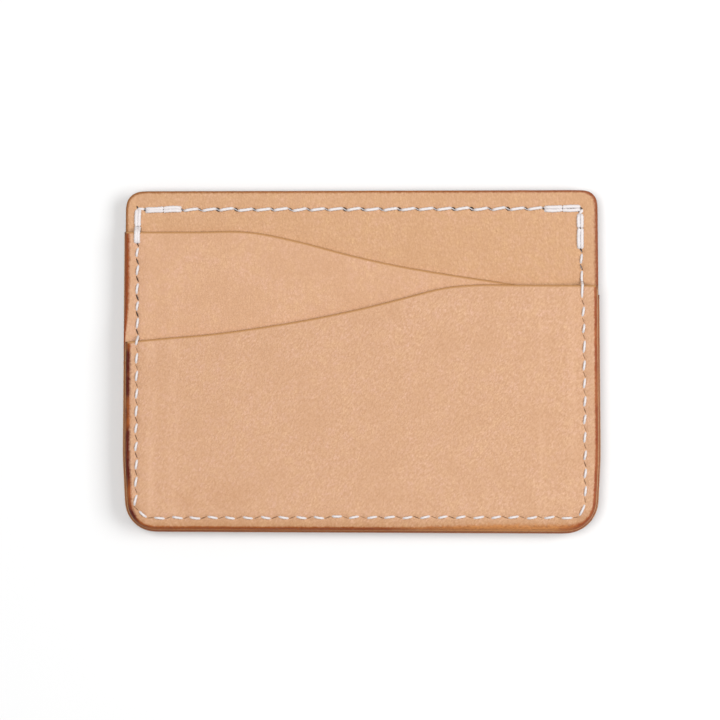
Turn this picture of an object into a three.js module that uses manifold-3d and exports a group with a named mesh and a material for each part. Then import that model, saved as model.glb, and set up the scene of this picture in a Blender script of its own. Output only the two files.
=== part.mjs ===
// Card holder: two leather panels back to back, with two stepped card pockets on each face.
// One seam closes the top edge, and a second seam runs down the left side, along the bottom and
// up the right side through every layer. Both seams are lockstitches: a needle thread on the
// front face and a bobbin thread on the rear face, which meet inside the needle holes.
//
// Millimetres. +Z comes out of the front face, +Y points to the closed top edge and X runs along
// the width. The origin is under the middle of the object, in the plane of the rear face.

import * as THREE from 'three';
import { mergeVertices } from 'three/addons/utils/BufferGeometryUtils.js';
import Module from 'manifold-3d';

// Outline of the two panels. It is cut a little taller at the right than at the left. The sides
// spread down to their widest place and draw in again towards the bottom corners.
const TOP_EDGE = { left: 36.5, right: 36.77 };
const BOTTOM_EDGE = { left: -36.15, right: -36.6 };
const HALF_WIDTH_TOP = 50.35;
const HALF_WIDTH_WIDEST = 50.8;
const HALF_WIDTH_BOTTOM = 50.05;
const WIDEST_AT = -20;
const SIDE_RADIUS = 60; // where the sides change direction
const TOP_LEFT_RADIUS = 3.7;
const TOP_RIGHT_RADIUS = 3.2;
const BOTTOM_LEFT_RADIUS = 6.6;
const BOTTOM_RIGHT_RADIUS = 7.2;

// Layers, from the rear face to the front face: lower pocket, upper pocket, panel, and the same
// again in reverse order. Each layer's outline is drawn in from the panels' outline by its inset,
// because the finished edge is rounded over.
const LEATHER = 1.1;
const LAYER_PITCH = 1.15;
const LAYER_COUNT = 6;
const UPPER_POCKET_INSET = 0.35;
const LOWER_POCKET_INSET = 0.9;

// Pocket mouths on the front face, each a smooth curve through these points from left to right.
// The rear pockets are cut to the same patterns and turned over, so their mouths run the other way.
const UPPER_MOUTH = [
  [-60, 27.5], [-47, 27.5], [-35, 27.5], [-24, 27.5], [-13.5, 25.5], [-3.3, 22.8], [6.9, 20.5],
  [17.1, 18.7], [27.3, 17.15], [38, 15.5], [49, 14.3], [60, 13.6],
];
const LOWER_MOUTH = [
  [-60, 2.8], [-50.6, 4.1], [-41.6, 5], [-31.4, 5.9], [-21.2, 7.3], [-11, 9], [-0.8, 11.1],
  [8.5, 13.4], [17.1, 15.6], [24.5, 16.3], [34, 16.25], [47, 16.2], [60, 16.15],
];
const MOUTH_POINTS = 60;

// Seams: the needle holes are spaced evenly along each run.
const TOP_SEAM = { from: [-45.85, 32.22], bend: [0, 32.28], to: [46.35, 32.5], stitches: 24 };
const LEFT_RUN = { from: [-47.42, 32.4], bend: [-47.5, 0], to: [-47.7, -30.9], stitches: 17 };
const BOTTOM_RUN = { from: [-44.6, -32.95], bend: [0, -32.8], to: [45.2, -32.85], stitches: 24 };
const RIGHT_RUN = { from: [47.12, -29.2], bend: [47.3, -3], to: [46.2, 31.4], stitches: 16 };
const BACKTACK_STITCHES = 2; // sewn twice at both ends of each seam
const HOLE_LENGTH = 1;
const HOLE_WIDTH = 1;
const HOLE_TO_MOUTH = 0.85; // a needle hole never comes nearer to a pocket's mouth

// Thread, as a flattened strip over each stitch with a leg down each needle hole.
const THREAD_WIDTH = 0.56;
const BACKTACK_WIDTH = 1.2;
const LEG_LENGTH = 0.5;
const LIFT = 0.05; // clearance under a stitch
const HEIGHT_AT_HOLE = 0.22;
const HEIGHT_AT_MIDDLE = 0.45;
const STEP_OVERHANG = 0.3; // how far a stitch runs level past the mouth it steps down from
const LEG_GAP = 0.3; // between the two threads' legs, inside the panels

// The rear lower pocket has a groove that takes the bobbin thread below its face.
const GROOVE_WIDTH = 1.2;
const GROOVE_DEPTH = 0.5;

const LEATHER_COLOUR = 0xdeae87;
const POCKET_COLOUR = 0xe0b28c;
const THREAD_COLOUR = 0xf3f0ea;

const wasm = await Module();
wasm.setup();

const vector = ([x, y]) => new THREE.Vector2(x, y);
const layerBottom = (layer) => layer * LAYER_PITCH;
const layerTop = (layer) => layer * LAYER_PITCH + LEATHER;
const middleZ = (LAYER_COUNT * LAYER_PITCH - (LAYER_PITCH - LEATHER)) / 2;

// A mouth as points from left to right, turned over left to right for a pocket on the rear.
function mouthPoints(knots, turned) {
  const points = new THREE.SplineCurve(knots.map(vector)).getSpacedPoints(MOUTH_POINTS);
  return turned ? points.map((p) => new THREE.Vector2(-p.x, p.y)).reverse() : points;
}

// The height of a mouth at x, between its points.
function mouthHeight(points, x) {
  const i = points.findIndex((p) => p.x > x);
  const t = (x - points[i - 1].x) / (points[i].x - points[i - 1].x);
  return THREE.MathUtils.lerp(points[i - 1].y, points[i].y, t);
}

function halfWidth(y, inset) {
  const above = y > WIDEST_AT;
  const [end, width] = above ? [TOP_EDGE.left, HALF_WIDTH_TOP] : [BOTTOM_EDGE.left, HALF_WIDTH_BOTTOM];
  const t = (y - WIDEST_AT) / (end - WIDEST_AT);
  return THREE.MathUtils.lerp(HALF_WIDTH_WIDEST, width, t) - inset;
}

// Draws a path's straight lines up to a corner and an arc round it, turning left.
function roundCorner(path, before, at, after, radius) {
  const into = at.clone().sub(before).normalize();
  const out = after.clone().sub(at).normalize();
  const turn = Math.acos(into.dot(out));
  const start = Math.atan2(-into.x, into.y);
  const centre = at.clone()
    .addScaledVector(into, -radius * Math.tan(turn / 2))
    .addScaledVector(sideways(into), radius);
  path.absarc(centre.x, centre.y, radius, start, start + turn, false);
}

// The corners that every layer shares, from the left side round the bottom to the right side.
function lowerCorners(inset) {
  const widest = HALF_WIDTH_WIDEST - inset;
  const bottom = HALF_WIDTH_BOTTOM - inset;
  return [
    { at: vector([-widest, WIDEST_AT]), radius: SIDE_RADIUS },
    { at: vector([-bottom, BOTTOM_EDGE.left + inset]), radius: BOTTOM_LEFT_RADIUS - inset },
    { at: vector([bottom, BOTTOM_EDGE.right + inset]), radius: BOTTOM_RIGHT_RADIUS - inset },
    { at: vector([widest, WIDEST_AT]), radius: SIDE_RADIUS },
  ];
}

function panelShape() {
  const corners = [
    ...lowerCorners(0),
    { at: vector([HALF_WIDTH_TOP, TOP_EDGE.right]), radius: TOP_RIGHT_RADIUS },
    { at: vector([-HALF_WIDTH_TOP, TOP_EDGE.left]), radius: TOP_LEFT_RADIUS },
  ];
  const shape = new THREE.Shape();
  corners.forEach(({ at, radius }, i) => {
    const before = corners.at(i - 1).at;
    const after = corners[(i + 1) % corners.length].at;
    roundCorner(shape, before, at, after, radius);
  });
  return shape;
}

// A pocket fills the outline from the bottom edge up to its mouth.
function pocketShape(mouth, inset) {
  const inside = mouth.filter((p) => Math.abs(p.x) < halfWidth(p.y, inset) - 1);
  const end = (sign) => {
    const y = mouthHeight(mouth, sign * halfWidth(inside[0].y, inset));
    return new THREE.Vector2(sign * halfWidth(y, inset), y);
  };
  const shape = new THREE.Shape();
  const corners = lowerCorners(inset);
  corners.forEach(({ at, radius }, i) => {
    const before = i > 0 ? corners[i - 1].at : end(-1);
    const after = i < corners.length - 1 ? corners[i + 1].at : end(1);
    roundCorner(shape, before, at, after, radius);
  });
  for (const p of [end(1), ...inside.reverse(), end(-1)]) {
    shape.lineTo(p.x, p.y);
  }
  return shape;
}

const mouths = {
  frontUpper: mouthPoints(UPPER_MOUTH, false),
  frontLower: mouthPoints(LOWER_MOUTH, false),
  rearUpper: mouthPoints(UPPER_MOUTH, true),
  rearLower: mouthPoints(LOWER_MOUTH, true),
};

// Needle holes along one run, both ends included.
function runHoles({ from, bend, to, stitches }) {
  const curve = bend
    ? new THREE.QuadraticBezierCurve(vector(from), vector(bend), vector(to))
    : new THREE.LineCurve(vector(from), vector(to));
  return curve.getSpacedPoints(stitches);
}

// Moves a hole along its side run until it is clear of every mouth.
function clearOfMouths(hole) {
  for (const mouth of Object.values(mouths)) {
    const distance = hole.y - mouthHeight(mouth, hole.x);
    if (Math.abs(distance) < HOLE_TO_MOUTH) {
      hole.y += Math.sign(distance) * HOLE_TO_MOUTH - distance;
    }
  }
  return hole;
}

const topHoles = runHoles(TOP_SEAM);
const pocketHoles = [
  ...runHoles(LEFT_RUN).map(clearOfMouths),
  ...runHoles(BOTTOM_RUN),
  ...runHoles(RIGHT_RUN).map(clearOfMouths),
];

// The direction of a seam at each of its holes.
function seamDirections(holes) {
  return holes.map((hole, i) => {
    const before = holes[Math.max(i - 1, 0)];
    const after = holes[Math.min(i + 1, holes.length - 1)];
    const into = hole.clone().sub(before).normalize();
    const out = after.clone().sub(hole).normalize();
    return into.add(out).normalize();
  });
}

const sideways = (direction) => new THREE.Vector2(-direction.y, direction.x);

// A point beside a seam: along and across from the given place.
function beside(place, direction, along, across) {
  return place.clone().addScaledVector(direction, along).addScaledVector(sideways(direction), across);
}

function cutHoles(shape, holes, keep) {
  const directions = seamDirections(holes);
  holes.forEach((hole, i) => {
    if (!keep(hole)) {
      return;
    }
    const at = (along, across) =>
      beside(hole, directions[i], along * HOLE_LENGTH / 2, across * HOLE_WIDTH / 2);
    shape.holes.push(new THREE.Path([at(-1, -1), at(-1, 1), at(1, 1), at(1, -1)]));
  });
}

function plate(shape, layer) {
  const geometry = new THREE.ExtrudeGeometry(shape, {
    depth: LEATHER, steps: 1, bevelEnabled: false, curveSegments: 10,
  });
  return geometry.translate(0, 0, layerBottom(layer));
}

function panel(layer) {
  const shape = panelShape();
  cutHoles(shape, topHoles, () => true);
  cutHoles(shape, pocketHoles, () => true);
  return plate(shape, layer);
}

function pocket(mouth, inset, layer) {
  const shape = pocketShape(mouth, inset);
  cutHoles(shape, pocketHoles, (hole) => hole.y < mouthHeight(mouth, hole.x));
  return plate(shape, layer);
}

function toManifold(geometry) {
  const bare = new THREE.BufferGeometry();
  bare.setAttribute('position', geometry.getAttribute('position').clone());
  if (geometry.index) {
    bare.setIndex(geometry.index.clone());
  }
  const merged = mergeVertices(bare, 1e-4);
  return new wasm.Manifold(new wasm.Mesh({
    numProp: 3,
    vertProperties: new Float32Array(merged.getAttribute('position').array),
    triVerts: new Uint32Array(merged.index.array),
  }));
}

function fromManifold(solid) {
  const mesh = solid.getMesh();
  const geometry = new THREE.BufferGeometry();
  geometry.setAttribute('position', new THREE.BufferAttribute(mesh.vertProperties, 3));
  geometry.setIndex(new THREE.BufferAttribute(mesh.triVerts, 1));
  return geometry;
}

// The channel that the bobbin thread lies in, as a band along the pocket seam.
function groove(mouth) {
  const directions = seamDirections(pocketHoles);
  const inside = pocketHoles.map((hole, i) => beside(hole, directions[i], 0, GROOVE_WIDTH / 2));
  const outside = pocketHoles.map((hole, i) => beside(hole, directions[i], 0, -GROOVE_WIDTH / 2));
  const reached = (point, i) => {
    const nearest = [pocketHoles[i - 1], pocketHoles[i], pocketHoles[i + 1]].filter(Boolean);
    return nearest.some((hole) => hole.y < mouthHeight(mouth, hole.x));
  };
  const band = new THREE.Shape([
    ...outside.filter(reached),
    ...inside.filter(reached).reverse(),
  ]);
  const depth = GROOVE_DEPTH + 1;
  return new THREE.ExtrudeGeometry(band, { depth, bevelEnabled: false })
    .translate(0, 0, layerBottom(0) - 1);
}

function groovedPocket(mouth, inset, layer) {
  const solid = toManifold(pocket(mouth, inset, layer)).subtract(toManifold(groove(mouth)));
  return fromManifold(solid);
}

// One thread of a lockstitched seam. face(hole) is the height of the surface that the stitch lies
// on, up is 1 on the front face and -1 on the rear face, and mouthsCrossed are the pocket mouths
// on that face.
function threadGeometry(holes, face, up, mouthsCrossed) {
  const directions = seamDirections(holes);
  const legEnd = middleZ + up * LEG_GAP / 2;
  const positions = [];
  const triangle = (a, b, c) => {
    for (const p of up > 0 ? [a, b, c] : [a, c, b]) {
      positions.push(p.x, p.y, p.z);
    }
  };
  const quad = (a, b, c, d) => {
    triangle(a, b, c);
    triangle(a, c, d);
  };
  const lifted = (p, z) => new THREE.Vector3(p.x, p.y, z);

  // A section across the thread, with its upper, lower and leg corners on both sides.
  const section = (place, direction, width, low, high) => {
    const left = beside(place, direction, 0, width / 2);
    const right = beside(place, direction, 0, -width / 2);
    return {
      leftHigh: lifted(left, high),
      rightHigh: lifted(right, high),
      leftLow: lifted(left, low),
      rightLow: lifted(right, low),
      leftLeg: lifted(left, legEnd),
      rightLeg: lifted(right, legEnd),
    };
  };

  const overStitch = (a, b) => {
    quad(a.leftHigh, a.rightHigh, b.rightHigh, b.leftHigh);
    quad(a.rightLow, a.leftLow, b.leftLow, b.rightLow);
    quad(a.leftLow, a.leftHigh, b.leftHigh, b.leftLow);
    quad(a.rightHigh, a.rightLow, b.rightLow, b.rightHigh);
  };

  const leg = (a, b) => {
    quad(a.leftHigh, a.rightHigh, b.rightHigh, b.leftHigh);
    quad(a.leftLow, a.leftHigh, b.leftHigh, b.leftLow);
    quad(a.leftLeg, a.leftLow, b.leftLow, b.leftLeg);
    quad(a.rightHigh, a.rightLow, b.rightLow, b.rightHigh);
    quad(a.rightLow, a.rightLeg, b.rightLeg, b.rightLow);
    quad(a.leftLow, a.leftLeg, a.rightLeg, a.rightLow);
    quad(b.leftLeg, b.leftLow, b.rightLow, b.rightLeg);
    quad(a.rightLeg, a.leftLeg, b.leftLeg, b.rightLeg);
  };

  const atHole = holes.map((hole, i) => {
    const base = face(hole);
    const side = (sign) => section(
      beside(hole, directions[i], sign * LEG_LENGTH / 2, 0),
      directions[i],
      THREAD_WIDTH,
      base + up * LIFT,
      base + up * (LIFT + HEIGHT_AT_HOLE),
    );
    return { before: side(-1), after: side(1), base };
  });

  // Where a stitch is highest: half way along it, or just past the last mouth that it crosses.
  const crown = (i) => {
    const [from, to] = [holes[i], holes[i + 1]];
    const base = up * Math.max(up * atHole[i].base, up * atHole[i + 1].base);
    const levels = mouthsCrossed
      .map((mouth) => mouthHeight(mouth, from.x))
      .filter((level) => (from.y - level) * (to.y - level) < 0);
    let share = 0.5;
    if (levels.length) {
      share = (Math.max(...levels) + STEP_OVERHANG - from.y) / (to.y - from.y);
    }
    return { place: from.clone().lerp(to, share), base };
  };

  const backtack = (i) => i < BACKTACK_STITCHES || i >= holes.length - 1 - BACKTACK_STITCHES;

  atHole.forEach(({ before, after }, i) => {
    leg(before, after);
    if (i === holes.length - 1) {
      return;
    }
    const { place, base } = crown(i);
    const direction = holes[i + 1].clone().sub(holes[i]).normalize();
    const width = backtack(i) ? BACKTACK_WIDTH : THREAD_WIDTH;
    const low = base + up * LIFT;
    const middle = section(place, direction, width, low, base + up * (LIFT + HEIGHT_AT_MIDDLE));
    overStitch(after, middle);
    overStitch(middle, atHole[i + 1].before);
  });
  const first = atHole[0].before;
  const last = atHole[holes.length - 1].after;
  quad(first.leftHigh, first.leftLow, first.rightLow, first.rightHigh);
  quad(last.leftLow, last.leftHigh, last.rightHigh, last.rightLow);

  const geometry = new THREE.BufferGeometry();
  geometry.setAttribute('position', new THREE.Float32BufferAttribute(positions, 3));
  return geometry;
}

// The height of the front or rear surface at a needle hole, which depends on the pockets there.
function frontFace(hole) {
  if (hole.y < mouthHeight(mouths.frontLower, hole.x)) {
    return layerTop(5);
  }
  return layerTop(hole.y < mouthHeight(mouths.frontUpper, hole.x) ? 4 : 3);
}

function rearFace(hole) {
  if (hole.y < mouthHeight(mouths.rearLower, hole.x)) {
    return layerBottom(0) + GROOVE_DEPTH;
  }
  return layerBottom(hole.y < mouthHeight(mouths.rearUpper, hole.x) ? 1 : 2);
}

function piece(name, geometry, color, roughness) {
  geometry.computeVertexNormals();
  const mesh = new THREE.Mesh(
    geometry,
    new THREE.MeshStandardMaterial({ color, roughness, metalness: 0 }),
  );
  mesh.name = name;
  return mesh;
}

const leather = (name, geometry, color) => piece(name, geometry, color, 0.62);
const thread = (name, geometry) => piece(name, geometry, THREAD_COLOUR, 0.8);

const panels = new THREE.Group();
panels.add(
  leather('front_panel', panel(3), LEATHER_COLOUR),
  leather('rear_panel', panel(2), LEATHER_COLOUR),
);

const pockets = new THREE.Group();
pockets.add(
  leather('front_upper_pocket', pocket(mouths.frontUpper, UPPER_POCKET_INSET, 4), POCKET_COLOUR),
  leather('front_lower_pocket', pocket(mouths.frontLower, LOWER_POCKET_INSET, 5), POCKET_COLOUR),
  leather('rear_upper_pocket', pocket(mouths.rearUpper, UPPER_POCKET_INSET, 1), POCKET_COLOUR),
  leather('rear_lower_pocket', groovedPocket(mouths.rearLower, LOWER_POCKET_INSET, 0), POCKET_COLOUR),
);

const frontMouths = [mouths.frontUpper, mouths.frontLower];
const rearMouths = [mouths.rearUpper, mouths.rearLower];
const seams = new THREE.Group();
seams.add(
  thread('top_seam_needle_thread', threadGeometry(topHoles, frontFace, 1, [])),
  thread('top_seam_bobbin_thread', threadGeometry(topHoles, rearFace, -1, [])),
  thread('pocket_seam_needle_thread', threadGeometry(pocketHoles, frontFace, 1, frontMouths)),
  thread('pocket_seam_bobbin_thread', threadGeometry(pocketHoles, rearFace, -1, rearMouths)),
);

const cardHolder = new THREE.Group();
cardHolder.add(panels, pockets, seams);

export default cardHolder;
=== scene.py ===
"""Card holder in undyed leather, lying face up on a white floor.

Each leather layer of the frame is replaced by a fine mesh with rounded, burnished edges, slit needle
holes and leather that the stitches pull in. Each thread is replaced by one continuous twisted cord that
runs down and up through the needle holes. Lengths are in millimetres until a mesh is made.
"""

import math

import bpy
import numpy as np
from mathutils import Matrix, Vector, kdtree, noise
from mathutils.geometry import delaunay_2d_cdt


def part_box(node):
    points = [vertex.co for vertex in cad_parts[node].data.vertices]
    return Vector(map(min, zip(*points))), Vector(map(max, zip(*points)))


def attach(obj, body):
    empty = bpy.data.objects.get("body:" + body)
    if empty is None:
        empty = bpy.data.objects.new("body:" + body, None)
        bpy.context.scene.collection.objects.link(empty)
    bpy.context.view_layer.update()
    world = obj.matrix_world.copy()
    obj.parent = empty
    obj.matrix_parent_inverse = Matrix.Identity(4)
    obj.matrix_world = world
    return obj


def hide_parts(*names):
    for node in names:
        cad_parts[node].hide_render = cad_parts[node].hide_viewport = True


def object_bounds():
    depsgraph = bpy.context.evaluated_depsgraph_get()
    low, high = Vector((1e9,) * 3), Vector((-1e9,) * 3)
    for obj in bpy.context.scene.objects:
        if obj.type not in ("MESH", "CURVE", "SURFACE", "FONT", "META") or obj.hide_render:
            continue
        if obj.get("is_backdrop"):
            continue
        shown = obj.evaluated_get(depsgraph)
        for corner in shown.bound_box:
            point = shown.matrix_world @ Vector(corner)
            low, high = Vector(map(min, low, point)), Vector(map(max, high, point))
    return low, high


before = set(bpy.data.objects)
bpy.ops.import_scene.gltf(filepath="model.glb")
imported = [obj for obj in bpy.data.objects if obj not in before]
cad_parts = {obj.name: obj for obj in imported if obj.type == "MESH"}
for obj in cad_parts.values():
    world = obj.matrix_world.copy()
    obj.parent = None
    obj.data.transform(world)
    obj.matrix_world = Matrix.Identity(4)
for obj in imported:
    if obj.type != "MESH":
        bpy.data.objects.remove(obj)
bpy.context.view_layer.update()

MM = 0.001  # metres in a millimetre
random = np.random.default_rng(11)

# The leather layers on each side of the middle plane, from the middle outwards.
PANEL, UPPER, LOWER = range(3)
FRONT, REAR = 1, -1
LAYERS = {
    FRONT: ("front_panel", "front_upper_pocket", "front_lower_pocket"),
    REAR: ("rear_panel", "rear_upper_pocket", "rear_lower_pocket"),
}
THREADS = {
    FRONT: ("top_seam_needle_thread", "pocket_seam_needle_thread"),
    REAR: ("top_seam_bobbin_thread", "pocket_seam_bobbin_thread"),
}

# For each layer, how far its side edge stands out from its CAD outline at its flesh side and at its grain
# side, then the width and the depth of the rounding at its grain side.
SIDE_EDGE = {
    PANEL: {"flesh": -0.32, "grain": -0.4, "width": 0.5, "depth": 0.36},
    UPPER: {"flesh": 0.17, "grain": -0.27, "width": 0.5, "depth": 0.42},
    LOWER: {"flesh": 0.26, "grain": -0.16, "width": 0.5, "depth": 0.5},
}
MOUTH_EDGE = {"width": 0.42, "depth": 0.24}
FLESH_CHAMFER = 0.08
EDGE_WANDER, WANDER_LENGTH, WANDER_SEED = 0.16, 4.5, 5.0  # how unevenly the edges were rounded over
LEFT_WIDTH = (0.1, 0.36, 0.38)  # added to each layer's rounding along its left edge
RIGHT_WIDTH = (0.3, 0.1, 0.0)  # and along its right edge
SIDE_STARTS = (46, 50)  # the X over which these two come in
SQUEEZE_OUT = 0.3  # how far the upper pocket's edge is pressed out where it runs in under the lower one
SQUEEZE_LENGTH, SQUEEZE_BELOW = 5.5, 2.2  # how far that reaches, above the lower pocket's mouth and below
WORN_WIDTH, WORN_DEPTH = 0.8, 0.14  # added along the right half of the bottom edge, worn soft
WORN_FROM, WORN_TO, WORN_DOWN = (5, 32), (-49, -43), (24, 33)  # where it comes in, by X, -X and -Y

# How finely the leather is modelled.
CORNER_TURN = math.radians(40)  # a sharper turn of an outline is the corner at the end of a mouth
OUTLINE_STEP, OUTLINE_SMOOTHING = 0.45, 8
GRAIN_RINGS = (0.04, 0.1, 0.18, 0.28, 0.4, 0.55, 0.8, 1.2)  # insets of the rows of points along an edge
FLESH_RINGS = (0.1, 0.5)
WALL_LEVELS = (0.85, 0.6, 0.35, 0.12)  # shares of the thickness
FIELD_STEP, HIDDEN_STEP = 1.1, 3.5  # between the points inside, where they show and where they don't
GRID_JITTER = 0.12  # of a step, which keeps them from standing in lines
COVER_MARGIN = 2.5  # how far under the next layer a face is still modelled finely
RING_TO_SLIT, SLIT_TO_RING, ROW_TO_RING, ROW_TO_ROW, FIELD_TO_ROW = 0.1, 0.12, 0.17, 0.15, 0.5  # gaps
FLESH_FIELD_TO_RING = 0.8
NO_MOUTH = 1e3  # the distance to the mouth on a layer that has none
GRAIN_SIDE, FLESH_SIDE = 0, 1  # the order of a layer's two materials

# Needle holes: slits that lean across the seam. The lower pocket's leather has nearly closed round them.
CLOSED_SLIT = 0.07
SLIT_POINTS = 12
SLIT_RINGS = (0.07, 0.18, 0.36)
SEAM_ROWS = (0.13, 0.32, 0.52, 0.75, 1.05, 1.4)  # rows of points along each stitch, to both sides of it
SEAM_STEP = 0.33
SAME_HOLE = 0.1  # two hole centres that are nearer than this are one hole's
SPREAD_JITTER = 0.12  # how unevenly the stitches come out of their slits
GAPE = (0.6, 1.35)  # how far open the slits stand, as shares of their seam's width
PULLED_SHUT = 0.5  # the share of that at the holes between the doubled stitches
SLIT_SHADE_AND_BURN_SPAN, SLIT_SHADE_AND_BURN_POWER = (0.25, 1.0), 1.5  # how dark the lower pocket's slits are painted, for painted shade deep in them and the needle's scorch, most of them little

# How the stitches press the leather in.
TRENCH_DEPTH, TRENCH_WIDTH = 0.17, 0.42
DIMPLE_DEPTH, DIMPLE_WIDTH = 0.2, 0.6
DIP_DEPTH, DIP_WIDTH = 0.07, 1.5
GROOVE_DEPTH, GROOVE_EDGE = 0.47, (0.44, 0.64)

# Dirt, stains and painted shade, each as strong as its mark in the leather's material takes it.
NOTCH_SHADE_AND_DYE, NOTCH_LENGTH = 1.2, 1.1  # painted shade of the recess on the side edges, at and below the end of a pocket's mouth, with darker dye there
HOLE_SOIL, HOLE_SOIL_REACH = (0.8, 0.8, 0.3), 0.5  # round the holes, on each layer
# painted shade deep in the slits, with the needle's scorch
SLIT_SHADE_AND_BURN = 1.8
STAIN_DOWN, STAIN_WIDTH = (29, 33), 2.6  # the margin along the bottom: where by -Y, and how wide

# Slow waves in the leather, shared by all the layers of the front, and the lift of a pocket's mouth.
WAVE_HEIGHT, WAVE_LENGTH = 0.07, 22.0
MOUTH_LIFT = {UPPER: 0.03, LOWER: 0.05}
LIFT_LENGTH = 7.0
LIFT_CLEAR = 9.0  # from a side seam to where the mouth is free to lift

# Threads.
PLIES, PLY_DEPTH, PLY_PITCH = 3, 0.15, 2.1
SECTION_POINTS = 12
ARCH_STEPS = 20
THREAD_SQUASH = 0.82  # how much flatter than round it lies
LEG_RADIUS = 0.42  # share of the thread's radius inside a needle hole
LEG_END = 0.3  # above the middle plane
CREST = 0.13  # how high a stitch's middle line lies over the leather
STITCH_LIFT, STITCH_SWAY = (-0.02, 0.02), (-0.08, 0.08)  # how that changes from stitch to stitch
STEP_HEIGHT = 0.2  # a stitch whose two ends differ by more climbs a pocket's mouth
HELD_UP = 1.7  # how near a mouth's step keeps a thread out of its hole
HELD_DROP, HELD_REACH = 0.0, 0.1  # how deep and how far from the hole's centre it turns down there
BACKTACK = 2  # stitches that are sewn twice, at both ends of each seam
BACKTACK_SPREAD, BACKTACK_RADIUS, BACKTACK_POWER = 0.31, 0.4, 6.0
BACKTACK_LIFT, BACKTACK_SWAY = (-0.09, 0.05), (-0.12, 0.16)
BACKTACK_DROP = {"outer": 0.6, "inner": 0.1}  # at the two outer holes, and at the one between
BACKTACK_REACH = {"outer": 0.35, "inner": 0.12}  # how far from the holes' centres, as a share of a stitch's
LINK_CREST = -0.2  # the thread that runs on, half sunk, from one seam's last hole to the other's
LINK_DROPS, LINK_POWER = (0.5, 0.5), 3.0
# For each seam: a slit's length, width and turn from the seam, where in it a stitch starts, the thread's
# radius, and how deep and how late a stitch turns down.
TOP_SEAM = {
    "slit": 1.1, "open": 0.6, "turn": math.radians(30), "spread": 0.46,
    "radius": 0.33, "drop": 1.8, "power": 8.0,
}
POCKET_SEAM = {
    "slit": 1.4, "open": 0.22, "turn": math.radians(21), "spread": 0.62,
    "radius": 0.27, "drop": 1.4, "power": 2.8,
}


# ---------------------------------------------------------------- camera, floor and light

OBJECT_SHARE = 0.6649  # the object's width as a share of the picture's
FRAME_SHIFT = (-0.0024, 0.0025)
LENS, SENSOR_WIDTH = 135, 36
FLOOR_SIZE, FLOOR_GREY = 6, 0.735
FLOOR_GAP = 0.03  # mm below the holder
KEY = {"size": (0.55, 0.4), "place": (0.54, 0.05, 0.64), "power": 4.7}
FILL = {"size": (0.5, 0.5), "place": (-0.18, 0.05, 0.9), "power": 6.4}
AMBIENT = 0.27


def make_camera():
    data = bpy.data.cameras.new("camera")
    camera = bpy.data.objects.new("camera", data)
    bpy.context.scene.collection.objects.link(camera)
    low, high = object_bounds()
    data.lens = LENS
    data.sensor_width = SENSOR_WIDTH
    frame_width = (high.x - low.x) / OBJECT_SHARE
    middle = (low.z + high.z) / 2
    camera.location = (0.0, 0.0, middle + frame_width * data.lens / data.sensor_width)
    data.shift_x, data.shift_y = FRAME_SHIFT
    data.clip_start = 0.01
    data.clip_end = 10
    bpy.context.scene.camera = camera


def area_light(name, size, place, power):
    data = bpy.data.lights.new(name, "AREA")
    data.shape = "RECTANGLE"
    data.size, data.size_y = size
    data.energy = power
    lamp = bpy.data.objects.new(name, data)
    lamp.location = place
    lamp.rotation_euler = (-Vector(place)).to_track_quat("-Z", "Y").to_euler()
    bpy.context.scene.collection.objects.link(lamp)


def make_studio():
    bpy.ops.mesh.primitive_plane_add(size=FLOOR_SIZE, location=(0, 0, -FLOOR_GAP * MM))
    floor = bpy.context.object
    floor.name = "floor"
    material = bpy.data.materials.new("floor_white")
    material.use_nodes = True
    shader = material.node_tree.nodes["Principled BSDF"]
    shader.inputs["Base Color"].default_value = (FLOOR_GREY, FLOOR_GREY, FLOOR_GREY, 1)
    shader.inputs["Roughness"].default_value = 0.9
    shader.inputs["Specular IOR Level"].default_value = 0.1
    floor.data.materials.append(material)
    floor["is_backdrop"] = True
    area_light("key", **KEY)
    area_light("fill", **FILL)
    world = bpy.data.worlds.new("studio")
    world.use_nodes = True
    background = world.node_tree.nodes["Background"]
    background.inputs["Color"].default_value = (1, 1, 1, 1)
    background.inputs["Strength"].default_value = AMBIENT
    bpy.context.scene.world = world
    bpy.context.scene.view_settings.view_transform = "Standard"


# ---------------------------------------------------------------- outlines, read from the frame

def area(loop):
    after = np.roll(loop, -1, axis=0)
    return 0.5 * np.sum(loop[:, 0] * after[:, 1] - after[:, 0] * loop[:, 1])


def turned_left(vectors):
    return np.stack([-vectors[..., 1], vectors[..., 0]], axis=-1)


def unit(vectors):
    return vectors / np.maximum(np.linalg.norm(vectors, axis=-1, keepdims=True), 1e-9)


def flesh_loops(node, side):
    """The loops round a CAD layer's flesh face, counter-clockwise: its outline, then its needle holes."""
    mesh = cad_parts[node].data
    mesh.calc_loop_triangles()
    points = np.empty(len(mesh.vertices) * 3)
    mesh.vertices.foreach_get("co", points)
    corners = np.empty(len(mesh.loop_triangles) * 3, int)
    mesh.loop_triangles.foreach_get("vertices", corners)
    points, merged = np.unique(np.round(points.reshape(-1, 3) / MM, 3), axis=0, return_inverse=True)
    triangles = merged.reshape(-1)[corners].reshape(-1, 3)
    level = points[:, 2].min() if side == FRONT else points[:, 2].max()
    flat = np.abs(points[:, 2] - level) < 0.01
    edges = set()
    for a, b, c in triangles[flat[triangles].all(axis=1)].tolist():
        edges |= {(a, b), (b, c), (c, a)}
    following = {a: b for a, b in edges if (b, a) not in edges}
    loops = []
    while following:
        start, at = following.popitem()
        chain = [start]
        while at != start:
            chain.append(at)
            at = following.pop(at)
        loop = points[chain][:, :2]
        loops.append(loop if area(loop) > 0 else loop[::-1])
    return sorted(loops, key=area, reverse=True)


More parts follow.
